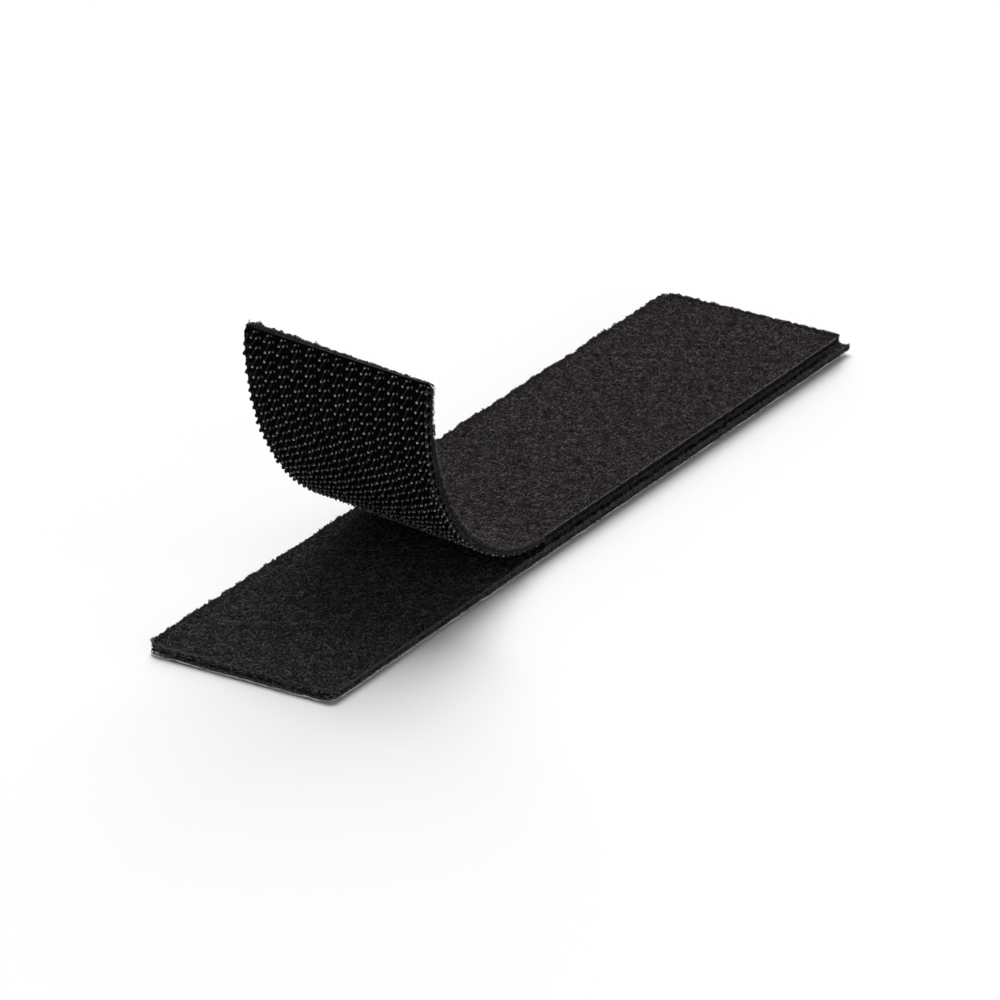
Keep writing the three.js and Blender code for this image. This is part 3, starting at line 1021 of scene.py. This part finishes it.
def grow_pile(name, stretch, near, far, density, seed, warmth=UPPER_WARMTH, cut_end=None, loft=None):
    """One piece of pile: loops, loose hairs, fringes, and the melted line on a straight right edge."""
    rng = np.random.default_rng(seed)
    fringes = [left_fringe(rng, near, far)]
    if cut_end is not None:
        fringes.append(end_fringe(rng, near, np.pi) if cut_end == "near" else end_fringe(rng, far, 0.0))
    if loft is not None:
        fringes.append(right_fringe(rng, near, far, loft))
    shapes = [
        pile_loops(rng, stretch.strip, near, far, density, warmth),
        loose_hairs(rng, stretch.strip, near, far, density),
        fringe_loops(rng, stretch.strip, fringes),
    ]
    if stretch not in peeled:
        shapes.append(melted_line(near, far))
    pile = make_piece(name, stretch.strip, joined(*shapes), finishes["brushed_pile"])
    settle(pile, stretch, "loop_pile")


def ragged_front(across):
    """Where the lower strip's pile begins: a little behind its cut end, in tufts."""
    return front_line(across) + FRONT_SETBACK * (1 + ripple(0, across, FRONT_TUFTS))


covered = turn_line(HINGE_SHARE)  # where the upper strip begins to cover the lower one
open_middle = square_line((lower.near(0) + covered(0)) / 2)
covered_middle = square_line((covered(0) + lower.far(0)) / 2)
lower_runs = [  # part, its near and far lines, density, seed, cut end and loft
    ("near", ragged_front, open_middle, OPEN_PILE, 11, "near", OPEN_LOFT),
    ("open", open_middle, covered, OPEN_PILE, 12, None, OPEN_LOFT),
    ("covered", covered, covered_middle, COVERED_PILE, 13, None, TEASED_LOFT),
    ("far", covered_middle, lower.far, COVERED_PILE, 16, None, TEASED_LOFT),
]
for part, near, far, density, seed, cut_end, loft in lower_runs:
    grow_pile(f"lower_pile_{part}", lower, near, far, density, seed, LOWER_WARMTH, cut_end, loft)

closed_run = closed.far(0) - closed.near(0)
third, two_thirds = (square_line(closed.near(0) + share * closed_run) for share in (1 / 3, 2 / 3))
grow_pile("upper_pile_near", closed, closed.near, third, OPEN_PILE, 14)
grow_pile("upper_pile_middle", closed, third, two_thirds, OPEN_PILE, 17)
grow_pile("upper_pile_far", closed, two_thirds, closed.far, OPEN_PILE, 15, cut_end="far")

for index, stretch in enumerate(peeled):
    name, seed = f"{stretch.name}_pile", PEELED_SEED + index
    cut_end = "near" if stretch is peeled[-1] else None
    grow_pile(name, stretch, stretch.near, stretch.far, OPEN_PILE, seed, cut_end=cut_end, loft=PEELED_LOFT)
print("Pile:", {name: size for name, size in piece_log.items() if "pile" in name})

# %% [markdown]
# ## The hooks
#
# Hook tape is woven with loops of stiff filament, and a blade then cuts each loop on one side near its top.
# What stays is a hook: it leaves the cloth over a low knuckle, runs up a slanting leg and goes over a round
# crown, with its cut end just past it. The knuckle and the crown are swollen, and they are painted light grey
# as painted glints, which make the field glitter in rows of dots. Between the hooks a float of the ground
# thread shows, with its top painted lighter as a painted glint too. Both are tubes, so each is written once,
# as a line in its own plane.

# %% Shape a hook and a float
LEG_RADIUS, CROWN_RADIUS = 0.08 * MM, 0.135 * MM
CROWN_BEND = 0.22 * MM  # radius of the crown's arc
KNUCKLE_BEND = 0.16 * MM  # radius of the knuckle's arc
KNUCKLE_TOP = 0.3 * MM
KNUCKLE_SIDE = 0.5 * MM  # a knuckle lies this far to the right of a crown
HOOK_TURN = math.atan2(KNUCKLE_SIDE, HOOK_ROW)  # hooks point away from the tip, turned this far to the left
HOOK_REACH = math.hypot(KNUCKLE_SIDE, HOOK_ROW)  # from a hook's knuckle to its crown
HOOK_ROOT = 0.08 * MM
HOOK_SIDES = 5
FLOAT_SIDE = 0.85 * MM  # a float lies this far to the right of a crown
FLOAT_LENGTH, FLOAT_HEIGHT = 0.45 * MM, 0.1 * MM
FLOAT_POINTS, FLOAT_SUNK, FLOAT_GLINT = 6, 0.3, 0.4  # sunk as a share of its height, and its painted glint as a share of a crown's


def hook_line():
    """A hook's centreline as (reach, rise), and the painted glint along it.

    The knuckle and the crown are arcs: reach = middle + bend sin b and rise = top - bend (1 - cos b), with
    b = 0 at the highest point. The leg is the straight stretch between them.
    """
    knuckle, crown = np.radians([-90, -45, 0, 35]), np.radians([-35, 0, 35, 70])
    reach = [[0, 0], KNUCKLE_BEND * (1 + np.sin(knuckle)), HOOK_REACH + CROWN_BEND * np.sin(crown)]
    rise = [
        [-HOOK_ROOT, 0],
        KNUCKLE_TOP - KNUCKLE_BEND * (1 - np.cos(knuckle)),
        HOOK_HEIGHT - CROWN_RADIUS - CROWN_BEND * (1 - np.cos(crown)),
    ]
    # Painted glint along the line: lightest on the knuckle and the crown.
    pale = [[0.05, 0.05], [0.2, 0.62, 0.62, 0.04], [0.04, 1.0, 1.0, 0.6]]
    lines = [np.concatenate(parts) for parts in (reach, rise, pale)]
    return [np.append(values, values[-1]) for values in lines]


def float_line():
    """A float of ground thread as (reach, rise), and its painted glint, strongest on top: a low arch, height
    sin(pi share).
    """
    share = np.linspace(0, 1, FLOAT_POINTS)
    arch = np.sin(np.pi * share).clip(0)
    return FLOAT_LENGTH * (share - 0.5), FLOAT_HEIGHT * (arch - FLOAT_SUNK), FLOAT_GLINT * arch


print("Points on a hook's line:", len(hook_line()[0]), "and on a float's:", len(float_line()[0]))

# %% [markdown]
# ## Rows and columns of hooks
#
# The hooks stand in straight rows and columns, all turned the same way, so that each knuckle lies beside a
# crown of the row before. The thread that turns back at each edge of the weave leaves a column of knobs.
# Hooks low in the curl have just let go of the loops and are still pressed down. Copies of one object could
# stand in the rows, but every hook is laid on the tape's path instead.

# %% Set the hooks
FIRST_ROW = 0.9 * MM  # a strip's near end to its first crowns
LEFT_COLUMN, RIGHT_COLUMN = 1.3 * MM, 1.0 * MM  # the tape's edges to the outer crowns
FIRST_REACH = 0.5  # share of its reach that a hook of the first row has
HIDDEN_GLINT = 0.2  # painted glint of hooks that lie in a pile or on the floor, kept low as painted shade
Knob = namedtuple("Knob", "inset turn tall pale girth")  # how a selvedge's knob differs from a hook
LEFT_KNOB = Knob(0.05 * MM, HOOK_TURN, 0.3, 0.1, 1.8)
RIGHT_KNOB = Knob(0.3 * MM, 0.0, 1.0, 0.6, 1.0)
PRESSED = 0.25  # share of their height that hooks keep where they have just let go
LET_GO, UPRIGHT = math.radians(28), math.radians(72)  # turns of the curl where hooks begin to rise and are up
HOOK_SWAY, FLOAT_SWAY = 0.07, 0.2  # spreads of their headings, in radians
ROOT_SPREAD = 0.03 * MM
HOOK_HEIGHTS, HOOK_GLINTS = (0.94, 1.0), (0.6, 1.0)  # shares of the full height and of the painted glint
HOOK_CELLS, FLOAT_CELLS = ((0, 0.32), (1, 0.68)), ((0, 0), (1, 0.3))
HOOK_SEED = 40


def hook_places(stretch):
    """Places of the knuckles, each with its hook's turn, and its reach, height, painted glint and girth as
    shares.

    The crowns stand in straight rows and columns, counted from the strip's near end and the tape's edges. A
    hook belongs to the stretch where its knuckle is, and the first row reaches half as far, to stay on the
    cloth. Selvedge knobs stand on the peeled end only: those on the left are low and stout, with little
    painted glint, and begin at the second row, and those on the right aren't turned, which keeps them on the
    cloth too.
    """
    rows = np.arange(stretch.strip.near + FIRST_ROW, stretch.strip.far, HOOK_ROW)
    columns = np.arange(HALF_WIDTH - LEFT_COLUMN, RIGHT_COLUMN - HALF_WIDTH, -HOOK_COLUMN)
    traits = HOOK_TURN, 1.0, 1.0 if stretch in peeled else HIDDEN_GLINT, 1.0
    traits = [np.full(len(columns), value) for value in traits]
    if stretch in peeled:
        columns = np.append(columns, [HALF_WIDTH - LEFT_KNOB.inset, RIGHT_KNOB.inset - HALF_WIDTH])
        knobs = zip(LEFT_KNOB[1:], RIGHT_KNOB[1:])
        traits = [np.append(values, pair) for values, pair in zip(traits, knobs)]
    crowns = np.stack(np.meshgrid(rows, columns, indexing="ij"), axis=-1).reshape(-1, 2)
    turns, tall, pale, girth = (np.tile(values, len(rows)) for values in traits)
    first = np.arange(len(crowns)) < len(columns)
    share = np.where(first, FIRST_REACH, 1.0)
    roots = crowns - HOOK_REACH * share[:, None] * np.stack([np.cos(turns), np.sin(turns)], axis=-1)
    inside = (roots[:, 0] >= stretch.near(roots[:, 1])) & (roots[:, 0] < stretch.far(roots[:, 1]))
    inside = inside & ~(first & (girth > 1))
    if stretch in peeled:
        turned = (peel_line(roots[:, 1]) - roots[:, 0]) / curl_radius(roots[:, 1])
        tall = tall * (PRESSED + (1 - PRESSED) * ease((turned - LET_GO) / (UPRIGHT - LET_GO)))
    return [values[inside] for values in (roots, turns, share, tall, pale, girth)]


def stand_tubes(profile, roots, heading, share, tall, pale, girth, region):
    """Puts a (reach, rise) line at each root, pointing along its heading, outwards from the hook cloth.

    The tube is as thick as a leg where its painted glint is faintest, and as thick as a crown where it is
    strongest.
    """
    reach, rise, glint_profile = profile
    reach = reach * share[:, None]
    along = roots[:, :1] + reach * np.cos(heading)[:, None]
    across = roots[:, 1:] + reach * np.sin(heading)[:, None]
    height = -CLOTH_FACE - rise * tall[:, None]
    lines = np.stack([along, across, height], axis=-1)
    radius = girth[:, None] * (LEG_RADIUS + (CROWN_RADIUS - LEG_RADIUS) * glint_profile[1:-1])
    # The crown mark is the painted glint: how light the finish paints each point.
    crown = pale[:, None] * glint_profile
    return tube_shape(lines, radius, across_heading(heading), HOOK_SIDES, region, crown=crown)


def hook_field(stretch, seed):
    """All hooks and floats of a stretch, each a little out of true."""
    rng = np.random.default_rng(seed)
    roots, turns, share, tall, pale, girth = hook_places(stretch)
    count = len(roots)
    heading = turns + rng.normal(0, HOOK_SWAY, count)
    roots = roots + rng.normal(0, ROOT_SPREAD, roots.shape)
    tall = tall * rng.uniform(*HOOK_HEIGHTS, count)
    pale = pale * rng.uniform(*HOOK_GLINTS, count)
    lie = rng.normal(0, FLOAT_SWAY, count)
    floats = roots - [0, FLOAT_SIDE - KNUCKLE_SIDE]
    floats[:, 1] = floats[:, 1].clip(LEG_RADIUS - HALF_WIDTH)
    return joined(
        stand_tubes(hook_line(), roots, heading, share, tall, pale, girth, HOOK_CELLS),
        stand_tubes(float_line(), floats, lie, share, tall, pale, np.ones(count), FLOAT_CELLS),
    )


for index, stretch in enumerate(stretches):
    field = hook_field(stretch, HOOK_SEED + index)
    hooks = make_piece(f"{stretch.name}_hooks", stretch.strip, field, finishes["hook_filament"])
    settle(hooks, stretch, "hook_cloth")
print("Hooks:", {name: size for name, size in piece_log.items() if "hooks" in name})

# %% [markdown]
# ## The edge thread
#
# A pale thread of the weave has come loose along the lower strip's right side and round its near end. It is
# one tube that follows the strip's edge from the far end to the front, where it lies lowest.

# %% Lay the edge thread
THREAD_OUT = 0.09 * MM  # the thread lies this far outside the tape's edge
FAR_DROP, CORNER_DROP, FRONT_DROP = 0.3 * MM, 0.5 * MM, 0.72 * MM  # and this far under the film
THREAD_WANDER, THREAD_SWELL = Ripple(0.08 * MM, 2.4 * MM, 8), Ripple(0.035 * MM, 1.3 * MM, 9)
THREAD_RADIUS, THREAD_LIMITS = 0.05 * MM, (0.015 * MM, 0.09 * MM)
LOWER_POINTS, FRONT_POINTS, CORNER_POINTS = 500, 160, 40  # on the lower strip's side, front and corner


def right_side(stretch, points):
    """Points along a stretch's right edge, from its far end to its near one."""
    along = np.linspace(stretch.far(-HALF_WIDTH), stretch.near(-HALF_WIDTH), points)
    return np.stack([along, np.full(points, -HALF_WIDTH)], axis=-1)


def front_side(points):
    """Points round the lower strip's near end, from right to left, closer together in its round corners."""
    across = -HALF_WIDTH * np.cos(np.linspace(0, np.pi, points))
    return np.stack([front_line(across), across], axis=-1)


def way_along(edge):
    """Distance along an edge from its first point to each of its points."""
    legs = np.linalg.norm(np.diff(edge, axis=0), axis=1)
    return np.concatenate([[0], np.cumsum(legs)])


def edge_thread(edge, drop):
    """A thread that follows an edge at a drop under the film. Its height and thickness wander."""
    way = way_along(edge)
    ahead = np.gradient(edge, axis=0)
    outward = np.stack([-ahead[:, 1], ahead[:, 0]], axis=-1) / np.linalg.norm(ahead, axis=1, keepdims=True)
    line = np.column_stack([edge + THREAD_OUT * outward, ripple(way, 0, THREAD_WANDER) - drop])
    radius = (THREAD_RADIUS + ripple(way, 0, THREAD_SWELL)).clip(*THREAD_LIMITS)[1:-1]
    return tube_shape(line[None], radius[None], np.array([[0, 0, 1.0]]), THREAD_SIDES)


lower_edge = np.concatenate([right_side(lower, LOWER_POINTS), front_side(FRONT_POINTS)[1:]])
turns_at = [0, LOWER_POINTS - 1, LOWER_POINTS, LOWER_POINTS + CORNER_POINTS - 1]
drops = [FAR_DROP, CORNER_DROP, CORNER_DROP, FRONT_DROP]
lower_drop = np.interp(np.arange(len(lower_edge)), turns_at, drops)
thread_shape = edge_thread(lower_edge, lower_drop)
thread = make_piece("lower_edge_thread", lower_strip, thread_shape, finishes["pale_thread"])
settle(thread, lower, "hook_cloth")
print("Edge thread:", piece_log["lower_edge_thread"], "triangles")

# %% [markdown]
# ## Frayed sides
#
# The tape is slit and cut, so short ends of yarn stand along the right side of both strips and round the
# lower one's near end. Without them the layers would show as smooth black walls. Each end is a small arch
# like a pile loop, laid along the edge at a random height. On the upper strip's closed run the ends are
# rooted in the cloth's edge and hang down from it, and they are painted darker as painted shade of the gap
# between the strips. On the peeled end they are painted darker towards the tip, as painted shade.

# %% Fray the sides
FRAY = Yarn((0.25 * MM, 0.6 * MM), 0.06 * MM, 0.03 * MM, (0.03 * MM, 0.05 * MM))
EDGE_FRAY = 22.0  # yarn ends on a millimetre of edge
HEADING_STEP = 0.1 * MM  # length of edge that gives an end its heading
FRAY_TURN = 0.25  # spread of the headings, in radians
FRAY_LIFT = 0.12 * MM  # spread of their middles' heights
FRAY_PATCH = 0, 0.5
FRAY_HANG = 0.6 * MM  # how far they hang from the upper strip
HANG_FROM = 0.1 * MM  # how far under its film the highest of those begin
FRAY_OVER = 0.05 * MM  # how far over its thread the lowest of the lower strip's begin
FRAY_TOP = 0.3 * MM  # how far over its film the highest do
# The upper strip's ends are painted darker than the lower one's: painted shade of the gap between the strips.
LOWER_SHADES, UPPER_PAINTED_SHADE = (0.1, 0.75), (0.0, 0.25)
TAB_SHADE, TAB_PAINTED_SHADE_STEP = 0.6, 0.08  # lightest shade at the curl's start, and how much darker each stretch is towards the tip, as painted shade
FRAY_SEED = 60
UPPER_POINTS, TAB_POINTS = 300, 30


def frayed_ends(rng, edge, low, high, shades, hang=0.0):
    """Short ends of yarn laid along an edge, at heights between low and high at each of the edge's points.

    Both feet of an end stay in the cloth, and its middle may hang down from there.
    """
    way = way_along(edge)
    place = rng.uniform(0, way[-1], int(EDGE_FRAY * way[-1] / MM))
    count = len(place)
    roots = np.stack([np.interp(place, way, edge[:, k]) for k in (0, 1)], axis=-1)
    onward = place + HEADING_STEP
    ahead = np.stack([np.interp(onward, way, edge[:, k]) for k in (0, 1)], axis=-1) - roots
    heading = np.arctan2(ahead[:, 1], ahead[:, 0]) + rng.normal(0, FRAY_TURN, count)
    low, high = (np.interp(place, way, np.broadcast_to(level, way.shape)) for level in (low, high))
    lines = arch_lines(
        roots,
        heading,
        length=rng.uniform(*FRAY.length, count),
        lift=rng.normal(0, FRAY_LIFT, count) - hang * rng.random(count),
        bow=rng.normal(0, FRAY.bow, count),
        sway=rng.normal(0, FRAY.sway, count),
        foot=low + (high - low) * rng.random(count),
    )
    radius = ring_radii(rng, FRAY, count)
    shade = rng.uniform(*shades, count)
    patch = rng.uniform(*FRAY_PATCH, count)
    return tube_shape(lines, radius, across_heading(heading), LOOP_SIDES, shade=shade, patch=patch)


def fray_side(rng, stretch, edge, low, high, shades, hang=0.0):
    """The piece of yarn ends on one stretch."""
    ends = frayed_ends(rng, edge, low, high, shades, hang)
    fray = make_piece(f"{stretch.name}_fray", stretch.strip, ends, finishes["brushed_pile"])
    settle(fray, stretch, "loop_pile")


rng = np.random.default_rng(FRAY_SEED)
fray_side(rng, lower, lower_edge, FRAY_OVER - lower_drop, FRAY_TOP, LOWER_SHADES)
upper_edge = right_side(closed, UPPER_POINTS)
# Painted shade: these ends hang in the gap between the strips and are painted dark.
fray_side(rng, closed, upper_edge, -CLOTH_FACE, -HANG_FROM, UPPER_PAINTED_SHADE, FRAY_HANG)
# On the peeled end the yarn ends are painted darker towards the tip, as painted shade.
for index, stretch in enumerate(peeled):
    tab_edge = right_side(stretch, TAB_POINTS)
    fray_side(rng, stretch, tab_edge, -CLOTH_FACE, BOND_HALF, (0.0, TAB_SHADE - TAB_PAINTED_SHADE_STEP * index))
print("Whole object:", sum(piece_log.values()), "triangles in", len(piece_log), "pieces")

# %% [markdown]
# ## Floor and light
#
# The tape lies on a white floor under broad, soft light. Most of it comes from above, some from behind, which
# throws a soft shadow towards the viewer, and a little from the front, which reaches the hook side. Wide sun
# lamps and a plain sky light the floor evenly everywhere, which nearby lamps would not.

# %% Floor and light
FLOOR_SIZE = 6.0
SKY = 0.12
SUNS = {  # strength, angle it is spread over in degrees, and where it comes from
    "soft_top": (1.95, 40, (0.35, 0.3, 1.0)),
    "soft_back": (1.55, 50, (1.0, 0.55, 0.6)),
    "soft_front": (0.6, 70, (-0.5, -0.9, 0.55)),
}


def white_floor():
    """Floor finish: off-white, and full white where the camera or a reflection sees it."""
    finish, tree, shader = new_finish("white_floor", Roughness=1.0, Specular_IOR_Level=0.0)
    colour = colour_mix(tree, seen_directly(tree), (0.8, 0.8, 0.8, 1), (1, 1, 1, 1))
    tree.links.new(colour, shader.inputs["Base Color"])
    return finish


def seen_directly(tree):
    """1 for rays from the camera and for reflections and refractions, and 0 for light that bounces."""
    path = node(tree, "LightPath").outputs
    seen = path["Is Camera Ray"]
    for kind in ("Is Glossy Ray", "Is Transmission Ray"):
        either = node(tree, "Math", Value=seen)
        either.operation = "MAXIMUM"
        tree.links.new(path[kind], either.inputs[1])
        seen = either.outputs["Value"]
    return seen


half = FLOOR_SIZE / 2
floor_mesh = bpy.data.meshes.new("floor")
corners = [(-half, -half, 0), (half, -half, 0), (half, half, 0), (-half, half, 0)]
floor_mesh.from_pydata(corners, [], [(0, 1, 2, 3)])
floor_mesh.materials.append(white_floor())
floor = bpy.data.objects.new("floor", floor_mesh)
bpy.context.scene.collection.objects.link(floor)

for name, (strength, spread, source) in SUNS.items():
    lamp = bpy.data.lights.new(name, "SUN")
    lamp.energy = strength
    lamp.angle = math.radians(spread)
    sun = bpy.data.objects.new(name, lamp)
    sun.rotation_euler = Vector(source).to_track_quat("Z", "Y").to_euler()
    bpy.context.scene.collection.objects.link(sun)


def plain_sky():
    """World that lights at the sky's strength and shows white to the camera and in reflections."""
    world = bpy.data.worlds.new("plain_sky")
    world.use_nodes = True
    tree = world.node_tree
    strength = node(tree, "MapRange", Value=seen_directly(tree), To_Min=SKY, To_Max=1.0)
    tree.nodes["Background"].inputs["Color"].default_value = (1, 1, 1, 1)
    tree.links.new(strength.outputs["Result"], tree.nodes["Background"].inputs["Strength"])
    return world


bpy.context.scene.world = plain_sky()
print("Suns:", SUNS, "and sky", SKY)

# %% [markdown]
# ## Camera
#
# The camera is far away with a long lens, which keeps the strips' edges nearly parallel. Its place was worked
# out from the strips' corners in the photograph.

# %% Place the camera
CAMERA_AZIMUTH = math.radians(-58.08)
CAMERA_ELEVATION = math.radians(24.43)
CAMERA_DISTANCE = 951.35 * MM
CAMERA_TARGET = Vector((-1.24, 1.12, 0)) * MM
SENSOR_WIDTH, LENS = 36, 288  # in the camera's own millimetres

camera_data = bpy.data.cameras.new("camera")
camera_data.sensor_width = SENSOR_WIDTH
camera_data.lens = LENS
camera = bpy.data.objects.new("camera", camera_data)
level = math.cos(CAMERA_ELEVATION)
back = Vector((
    math.sin(CAMERA_AZIMUTH) * level,
    -math.cos(CAMERA_AZIMUTH) * level,
    math.sin(CAMERA_ELEVATION),
))
camera.location = CAMERA_TARGET + CAMERA_DISTANCE * back
camera.rotation_euler = (-back).to_track_quat("-Z", "Y").to_euler()
bpy.context.scene.collection.objects.link(camera)
bpy.context.scene.camera = camera
bpy.context.scene.view_settings.view_transform = "Standard"
print("Camera at", [round(value, 4) for value in camera.location])
